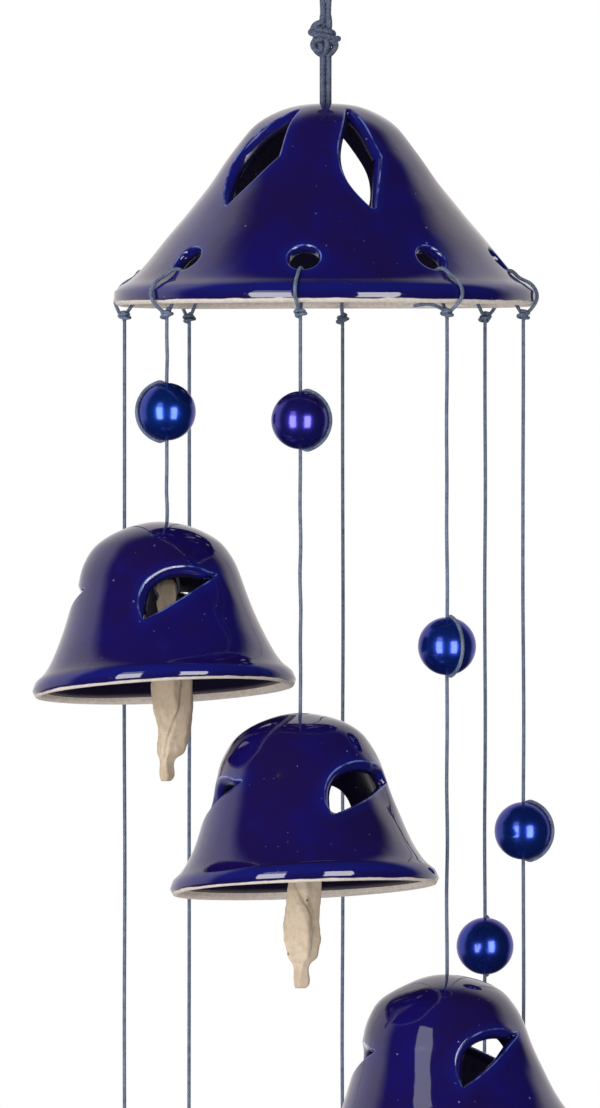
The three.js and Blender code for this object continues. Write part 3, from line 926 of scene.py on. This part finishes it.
def make_canopy(table):
    """The canopy with its leaf-shaped cuts and rim holes."""
    cuts = [crown_opening((0, 0), CROWN_HOLE_RADIUS, CROWN_HOLE_EDGE)]
    hole = round_outline(table, RIM_HOLE_RADIUS, RIM_HOLE_DEPTH)
    bevel = lambda place: np.full(len(place), PETAL_BEVEL)
    for angle, *form in zip(PETAL_ANGLES, PETAL_SPREADS, PETAL_LENGTHS, PETAL_TOPS):
        cuts.append(opening(table, angle, petal_outline(*form), CUT_EDGE, bevel))
    for number in range(1, STRING_COUNT + 1):
        cuts.append(opening(table, string_angle(number), hole, CUT_EDGE))
    swell = hand_made(CANOPY_SEED, CANOPY_UNEVENNESS)
    lip = (CANOPY_LIP_EDGE, CANOPY_BARE_LIP)
    points, faces, values = shell(table, CANOPY_WALL, cuts, *lip, CANOPY_PITCH, swell)
    points = points + [0, 0, node_box("canopy")[1][2]]
    piece = mesh_piece("canopy_glazed", points, faces, GLAZE, values)
    settle(piece, "canopy", "glaze", "canopy")


def bell_swell(number, windows):
    """Unevenness of one bell, with the lid above each window pushed out and the sill pressed in."""
    even_wall = hand_made(BELL_SEED + number, BELL_UNEVENNESS)

    def swell(reach, bearing, spot):
        total = even_wall(reach, bearing, spot)
        for cut, lift, press in zip(windows, LID_LIFTS, SILL_PRESSES):
            outline = cut["outline"]
            left, slope, above, width = window_sill(outline)
            place = cut["local"](spot)
            gap = np.where(inside_loop(place, outline), 0, loop_distance(place, outline))
            height = (place - left) @ above
            across = (place - left) @ slope
            along = smooth_step(-1, 6, across) * smooth_step(width + 1, width - 6, across)
            lid = smooth_step(-0.6, 2.2, height) * np.exp(-((gap / 5) ** 2))
            sill = smooth_step(0.6, -0.8, height) * np.exp(-((gap / 8) ** 2))
            total = total + along * (lift * lid - press * sill)
        return total

    return swell


def window_sill(outline):
    """Left end, direction, upward normal and length of a window's straight sill."""
    left, right = outline[0], outline[SILL_STEPS]
    width = np.linalg.norm(right - left)
    slope = (right - left) / width
    return left, slope, np.array([slope[1], -slope[0]]), width


def lid_bevel(outline):
    """The slanting cut of a window's lid, which fades towards the sill."""
    left, _, above, _ = window_sill(outline)
    return lambda place: LID_BEVEL * smooth_step(0, 3, (place - left) @ above)


def make_bell(number, table):
    """One bell, hung by a hole beside its middle so that one side is raised."""
    raised = direction(BELL_RAISED_SIDES[number - 1])
    lean = math.radians(BELL_LEANS[number - 1])
    hole = raised * BELL_BALANCE_DEPTH * math.tan(lean) + [*BELL_HOLE_SHIFTS[number - 1], 0]
    windows = []
    count = len(WINDOW_DEPTHS)
    plain = (WINDOW_WIDTH, WINDOW_SLOPE)
    for i, depth in enumerate(WINDOW_DEPTHS):
        form = plain if i else FRONT_WINDOWS.get(number, plain)
        outline = window_outline(table, depth, *form)
        angle = WINDOW_ANGLES[number - 1] + 360 / count * i
        if i == count - 1:
            angle += LEFT_WINDOW_TURNS.get(number, 0)
        windows.append(opening(table, angle, outline, CUT_EDGE, lid_bevel(outline)))
    cuts = [crown_opening(hole, BELL_HOLE_RADIUS, CROWN_HOLE_EDGE), *windows]
    swell = bell_swell(number, windows)
    lip = (BELL_LIP_EDGE, BELL_BARE_LIP)
    points, faces, values = shell(table, BELL_WALL, cuts, *lip, BELL_PITCH, swell)
    tilt = np.array(Quaternion(np.cross(raised, [0, 0, 1]), lean).to_matrix())
    pivot = joint_point(f"bell_{number}_rock") + [0, 0, BELL_WALL / 2]
    sizes = [BELL_WIDTHS[number - 1], 1, BELL_STRETCHES[number - 1]]
    points = (points * sizes - hole) @ tilt.T + pivot
    piece = mesh_piece(f"bell_{number}_glazed", points, faces, GLAZE, values)
    settle(piece, f"bell_{number}", "glaze", f"bell_{number}")


def make_bead(number, centre):
    """A round bead with the small flats of its bore."""
    edge = math.asin(BEAD_BORE_RADIUS / BEAD_RADIUS)
    polar = np.linspace(edge, math.pi - edge, BEAD_ROWS)
    outer = BEAD_RADIUS * circle(polar)[:, ::-1]
    outer[0] += [0.12, -0.02]
    outer[-1] += [0.12, 0.02]
    bore = np.linspace(outer[-1, 1] + 0.25, outer[0, 1] - 0.25, 6)
    outline = np.vstack([outer, np.column_stack([np.full(6, BEAD_BORE_RADIUS), bore])])
    flat = (outline[:, :1, None] * circle(turns_of(BEAD_SIDES))).reshape(-1, 2)
    points = np.column_stack([flat, np.repeat(outline[:, 1], BEAD_SIDES)])
    faces = bands(len(outline), BEAD_SIDES, closed=True)
    tint = {"tint": np.full(len(points), BEAD_TINTS[number - 1])}
    piece = mesh_piece(f"bead_{number}_pearl", points + centre, faces, BEAD, tint)
    return settle(piece, f"string_{number}", "bead", f"bead_{number}")


def make_string(number):
    """One hanging cord with its bead, the wrap that locks the bead, and the stop knot."""
    body = f"string_{number}"
    centre = sum(node_box(f"bead_{number}")) / 2
    top = np.array([centre[0], centre[1], node_box(f"cord_{number}")[1][2]])
    drop = BELL_WALL / 2 + BELL_SEAT_GAP + STOP_KNOT_RADIUS
    stop = joint_point(f"bell_{number}_rock") - [0, 0, drop]
    rng = np.random.default_rng(CORD_SEED + number)
    marks = np.linspace(top[2], stop[2], CORD_MARKS)
    path = np.column_stack([np.tile(top[:2], (CORD_MARKS, 1)), marks])
    path[2:-2, :2] += rng.uniform(-CORD_WANDER, CORD_WANDER, (CORD_MARKS - 4, 2))
    near = np.abs(marks - centre[2]) < STRAIGHT_BY_BEAD
    path[near, :2] = top[:2]
    path = spline(path, max(40, int((top[2] - stop[2]) / 2)))
    cord = cord_piece(f"cord_{number}_strand", [tube(path, CORD_RADIUS)], CORD)
    settle(cord, body, "cord", f"cord_{number}")

    wrap_out = BEAD_RADIUS + 0.85 * CORD_RADIUS
    polar = np.radians(np.linspace(14, 166, 28))
    way = direction(WRAP_ANGLES[number - 1])
    wrap = centre + wrap_out * (np.outer(np.sin(polar), way) + np.outer(np.cos(polar), [0, 0, 1]))
    end = np.array([0, 0, BEAD_RADIUS - 0.3])
    wrap = np.vstack([centre + end + 0.5 * way, wrap, centre - end + 0.5 * way])
    wrap = even(spline(wrap, 300), 60)
    lock = cord_piece(f"bead_{number}_wrap", [tube(wrap, CORD_RADIUS)], CORD)
    settle(lock, body, "cord")
    bead = make_bead(number, centre)

    knot = cord_piece(f"stop_knot_{number}", wound(stop, STOP_KNOT_TURNS, 40 * number), CORD)
    settle(knot, body, "cord")


def make_rim_loop(number, table):
    """The cord's end through its rim hole and round the rim, tied to itself below."""
    angle = string_angle(number)
    bow = LOOP_BOWS[number - 1]
    knot_z = node_box("canopy")[0][2] - RIM_KNOT_DROP
    crown_z = node_box("canopy")[1][2]
    lip, lip_depth = CANOPY_OUTLINE[-1]
    rim_z = crown_z - lip_depth
    start = joint_point(f"string_{number}_swing")
    knot_radius = math.hypot(start[0], start[1])
    hole = length_at_depth(table, RIM_HOLE_DEPTH)
    clear = CORD_RADIUS + (0.15 if abs(bow) > LEAST_SLACK_BOW else 0.02)

    def on_wall(length, off):
        radius, height, out, up = wall_at(table, length)
        return radius + off * out, crown_z + height + off * up

    wall = CANOPY_WALL / 2
    roll = max(radius for radius, _ in CANOPY_OUTLINE)
    edge = hole + RIM_HOLE_RADIUS
    slack = wall + clear + min(0.1 * abs(bow), 0.22)
    path = [
        (knot_radius, knot_z, 0),
        (lip + 0.9, rim_z + 0.1, 0.5 * bow),
        (roll + clear, rim_z + 3, bow),
        (roll - 1.1, rim_z + 6.1, bow),
        (*on_wall(edge + 3.2, slack), 0.9 * bow),
        (*on_wall(edge + 0.6, wall + clear), 0.5 * bow),
        (*on_wall(edge - clear, 0.4), 0.15 * bow),
        (*on_wall(edge + 0.6, -wall - clear), 0),
        (lip - 4.5, rim_z + 2.7, 0),
        (lip - 2.7, rim_z + 0.1, 0),
    ]
    turn = np.array(Euler((0, 0, math.radians(angle))).to_matrix())
    points = [(side, -math.sqrt(radius**2 - side**2), z) for radius, z, side in path]
    points = np.array(points) @ turn.T
    parts = [tube(closed_spline(points, 90), CORD_RADIUS, closed=True)]
    knot = points[0]
    parts += wound(knot, RIM_KNOT_TURNS, 70 * number)
    below = np.array([start[0], start[1], start[2] + 0.1])
    parts.append(tube(np.linspace(knot, below, 6), CORD_RADIUS))
    if number == LONG_TAIL_STRING:
        end = knot + np.array(LONG_TAIL) @ turn.T
        bend = (knot + end) / 2 + [0, 0, 1.1]
        parts.append(tube(spline([knot, bend, end], 30), CORD_RADIUS))
    piece = cord_piece(f"rim_loop_{number}_tied", parts, CORD)
    settle(piece, "canopy", "cord", f"rim_loop_{number}")


def make_clapper(number):
    """A hand-moulded bar with flat strokes along it, a narrow tab, and its ring of cord."""
    body = f"clapper_{number}"
    start = joint_point(f"clapper_{number}_swing")
    top = np.array([start[0], start[1], node_box(f"clapper_{number}")[1][2]])
    rng = np.random.default_rng(CLAPPER_SEED + number)
    phase = rng.uniform(0, 2 * math.pi)
    outline = spline(CLAPPER_OUTLINE, 400)
    share = np.linspace(0, 1, CLAPPER_ROWS)
    depth = share * LONG_CLAPPERS.get(number, CLAPPER_LENGTH)
    half = np.interp(CLAPPER_LENGTH * share, outline[:, 0], outline[:, 1])
    around = CLAPPER_SIDES
    turn = turns_of(around)
    twist = np.radians(CLAPPER_TWIST) * smooth_step(2 * CLAPPER_HOLE_INSET, 44, depth)
    lean = CLAPPER_LEANS[number - 1] * (half - 1.8) * smooth_step(10, 24, depth)
    rows = []
    for d, h, w, shift in zip(depth, half, twist, lean):
        reach = np.ones(around)
        for k, (bearing, limit) in enumerate(CLAPPER_STROKES):
            sway = 0.34 * math.sin(d / 6 + phase + 2.1 * k)
            facing = np.cos(turn - bearing - sway)
            cut = limit + 0.06 * math.sin(d / 3.4 + 1.7 * k + phase)
            reach = np.where(facing > 0.3, np.minimum(reach, cut / np.maximum(facing, 0.3)), reach)
        for bearing, sway, span in CLAPPER_LEDGES:
            off = turn - bearing - sway * math.sin(d / span + phase)
            off = (off + math.pi) % (2 * math.pi) - math.pi
            ledge = smooth_step(-0.09, 0.02, off) * np.exp(-np.maximum(off, 0) / 0.6)
            reach = reach - 0.15 * ledge * smooth_step(12, 20, d) * smooth_step(46, 43, d)
        x, y = 1.08 * h * reach * circle(turn).T
        y = y * CLAPPER_FLATTENING
        c, s = math.cos(w), math.sin(w)
        rows.append(np.column_stack([c * x - s * y + shift, s * x + c * y, np.full(around, -d)]))
    points = np.vstack(rows)
    for i, point in enumerate(points):
        size = min(1.0, np.hypot(point[0], point[1]) / 2) * smooth_step(-46, -42, point[2])
        way = Vector((point[0], point[1], 0)).normalized() if size > 0 else Vector((0, 0, 1))
        spot = Vector(point) * 0.3 + Vector((9.0 * number, 0, 0))
        lump = 0.26 * noise.fractal(spot, 1.0, 2.1, 2)
        crease = 0.22 * (abs(noise.noise(Vector((spot.x * 2, spot.y * 2, spot.z * 1.1)))) - 0.25)
        points[i] += np.array(way) * (lump + crease) * size
    faces = bands(CLAPPER_ROWS, around)
    faces.append(list(range(around)))
    faces.append([(CLAPPER_ROWS - 1) * around + k for k in range(around)][::-1])
    piece = mesh_piece(f"clapper_{number}_clay", points + top, faces, CLAY)
    bore(piece, top - [0, 0, CLAPPER_HOLE_INSET])
    settle(piece, body, "clay", f"clapper_{number}")

    low, high = node_box(f"clapper_loop_{number}")
    reach = (high[0] - low[0]) / 2 - CORD_RADIUS
    end = low[2] + CORD_RADIUS
    tall = high[2] - CORD_RADIUS - end
    points = np.array([(top[0] + reach * x, top[1], end + tall * z) for x, z in CLAPPER_RING])
    bent = tube(closed_spline(points, 60), CORD_RADIUS, closed=True)
    loop = cord_piece(f"clapper_ring_{number}", [bent], CORD)
    settle(loop, body, "cord", f"clapper_loop_{number}")


def bore(piece, centre):
    """Cuts the hole for the ring of cord, along X, through the upper end of a clapper."""
    sides = 20
    ring = CLAPPER_HOLE_RADIUS * np.column_stack([np.zeros(sides), circle(turns_of(sides))])
    reach = np.array([8, 0, 0])
    points = np.vstack([centre - reach + ring, centre + reach + ring])
    faces = [[b, c, d, a] for a, b, c, d in bands(2, sides)]
    faces += [list(range(sides)), list(range(sides, 2 * sides))[::-1]]
    cutter = mesh_piece("bore_cutter", points, faces, CLAY)
    cutter.data.flip_normals()
    cut = piece.modifiers.new("bore", "BOOLEAN")
    cut.object = cutter
    cut.operation = "DIFFERENCE"
    cut.solver = "EXACT"
    graph = bpy.context.evaluated_depsgraph_get()
    drilled = bpy.data.meshes.new_from_object(piece.evaluated_get(graph))
    piece.modifiers.clear()
    piece.data = drilled
    bpy.data.objects.remove(cutter)


def make_suspension():
    """The hanging loop with its knot, and the two strands down to the canopy."""
    low, high = node_box("hanging_loop")
    strand_top = node_box("suspension_cord")[1][2]
    half = STRAND_SPACING / 2
    knot = np.array([0, 0, low[2] + 4.5])
    wide = (high[0] - low[0]) / 2 - SUSPENSION_RADIUS
    tall = -low[2] - 9
    side = [
        (half, knot[2]),
        (half, 4 - tall),
        (0.4 * wide, -0.66 * tall),
        (0.97 * wide, -0.26 * tall),
        (0.66 * wide, -0.03 * tall),
    ]
    right = [(x, 0, z) for x, z in side]
    left = [(-x, 0, z) for x, z in side[::-1]]
    loop = even(spline(np.array(right + [(0, 0, SUSPENSION_RADIUS)] + left), 600), 120)
    eye = cord_piece("hanging_loop_cord", [tube(loop, SUSPENSION_RADIUS)], THICK_CORD)
    settle(eye, "hanger", "cord", "hanging_loop")
    strands = []
    stop_z = joint_point("canopy_spin")[2] - CANOPY_WALL - SEAT_GAP - CANOPY_STOP_KNOT_RADIUS
    for sign in (-1, 1):
        marks = np.linspace(strand_top, stop_z, 24)
        line = np.column_stack([sign * half + 0 * marks, 0 * marks, marks])
        strands.append(tube(line, SUSPENSION_RADIUS))
    stop = np.array([0, 0, stop_z])
    for k in range(2):
        centre = stop + [0, 0, 0.8 - 1.4 * k]
        path = knot_wrap(centre, 1.4, SUSPENSION_RADIUS, turns=1.4, rise=1.4, phase=200 * k)
        strands.append(tube(path, SUSPENSION_RADIUS))
    piece = cord_piece("suspension_strands", strands, THICK_CORD)
    settle(piece, "suspension", "cord", "suspension_cord")

    lines = [even(spline(knot + np.array(stroke), 200), 36) for stroke in HANGING_KNOT]
    turns = [tube(line, 1.05 * SUSPENSION_RADIUS) for line in lines]
    tied = cord_piece("hanging_knot", turns, THICK_CORD)
    settle(tied, "hanger", "cord")


# Stage


def make_camera():
    """A long lens, level, that frames the canopy and the upper bells."""
    camera = bpy.data.cameras.new("camera")
    camera.lens = CAMERA_LENS
    camera.sensor_width = 36
    camera.clip_end = 60
    holder = bpy.data.objects.new("camera", camera)
    holder.location = CAMERA_PLACE
    holder.rotation_euler = (math.radians(90), 0, 0)
    bpy.context.collection.objects.link(holder)
    bpy.context.scene.camera = holder


def soft_box(name, azimuth, width, height, power, rise=0.0, **sees):
    """A tall soft lamp in front of the chime, turned towards its axis."""
    middle = Vector((0, 0, rise + LAMP_LEVEL))
    lamp = bpy.data.lights.new(name, "AREA")
    lamp.shape = "RECTANGLE"
    lamp.size = width
    lamp.size_y = height
    lamp.energy = power
    holder = bpy.data.objects.new(name, lamp)
    holder.location = middle + LAMP_DISTANCE * Vector(direction(azimuth))
    holder.rotation_euler = (middle - holder.location).to_track_quat("-Z", "Y").to_euler()
    for ray, seen in sees.items():
        setattr(holder, "visible_" + ray, seen)
    bpy.context.collection.objects.link(holder)


def make_world():
    """White behind the chime for the camera and for gloss, a plain level for diffuse light."""
    s = Shader(bpy.data.worlds.new("studio"))
    bpy.context.scene.world = s.owner
    sky = s.tree.nodes["Background"]
    rays = s.node("LightPath").outputs
    way = s.node("SeparateXYZ", {"Vector": s.node("TexCoord").outputs["Generated"]}).outputs
    left = s.math("MAXIMUM", s.times(way["X"], -0.45), 0.0)
    behind = s.ramp(s.plus(way["Y"], left), 0.3, 0.62)
    overhead = s.times(s.ramp(way["Z"], 1.0, 0.66), s.ramp(way["Z"], -0.5, -0.2))
    gloss = s.plus(s.times(s.times(behind, overhead), 0.95), 0.03)
    aside = s.plus(s.times(way["X"], -0.6), s.times(way["Y"], -0.4))
    plain = s.ramp(s.plus(aside, s.times(way["Z"], 0.5)), -0.7, 0.9, 0.3, 1.0)
    level = s.plus(s.times(rays["Is Glossy Ray"], s.minus(gloss, plain)), plain)
    seen = s.math("MAXIMUM", rays["Is Camera Ray"], rays["Is Transmission Ray"])
    level = s.plus(s.times(seen, s.minus(1.0, level)), level)
    s.put(sky.inputs["Strength"], level)
    s.put(sky.inputs["Color"], s.mix(rays["Is Glossy Ray"], (1, 1, 1, 1), (1, 0.95, 0.93, 1)))


def make_floor():
    """A pale floor below the chime."""
    left, right, front, back = -FLOOR_SIDE, FLOOR_SIDE, -FLOOR_SIDE, FLOOR_BACK
    corners = ((left, front), (right, front), (right, back), (left, back))
    points = np.array([(x, y, FLOOR_LEVEL) for x, y in corners])
    floor = mesh_piece("floor", points / MM, [[0, 1, 2, 3]], floor_material())
    floor.visible_glossy = False


make_camera()
bpy.context.scene.view_settings.view_transform = "Standard"
make_world()
for side, azimuth in (("left", -30), ("right", 28)):
    soft_box(side + "_box", azimuth, width=0.55, height=1.05, power=18, rise=-0.12, diffuse=False)
soft_box("left_box_top", -30, width=0.5, height=0.46, power=1.8, rise=0.64, diffuse=False)
soft_box("front_fill", -26, width=1.2, height=1.2, power=10.5, glossy=False)
make_floor()

canopy_table = profile(CANOPY_OUTLINE, CANOPY_WALL)
bell_table = profile(BELL_OUTLINE, BELL_WALL)
make_suspension()
make_canopy(canopy_table)
for string in range(1, STRING_COUNT + 1):
    make_rim_loop(string, canopy_table)
    make_string(string)
    make_bell(string, bell_table)
    make_clapper(string)
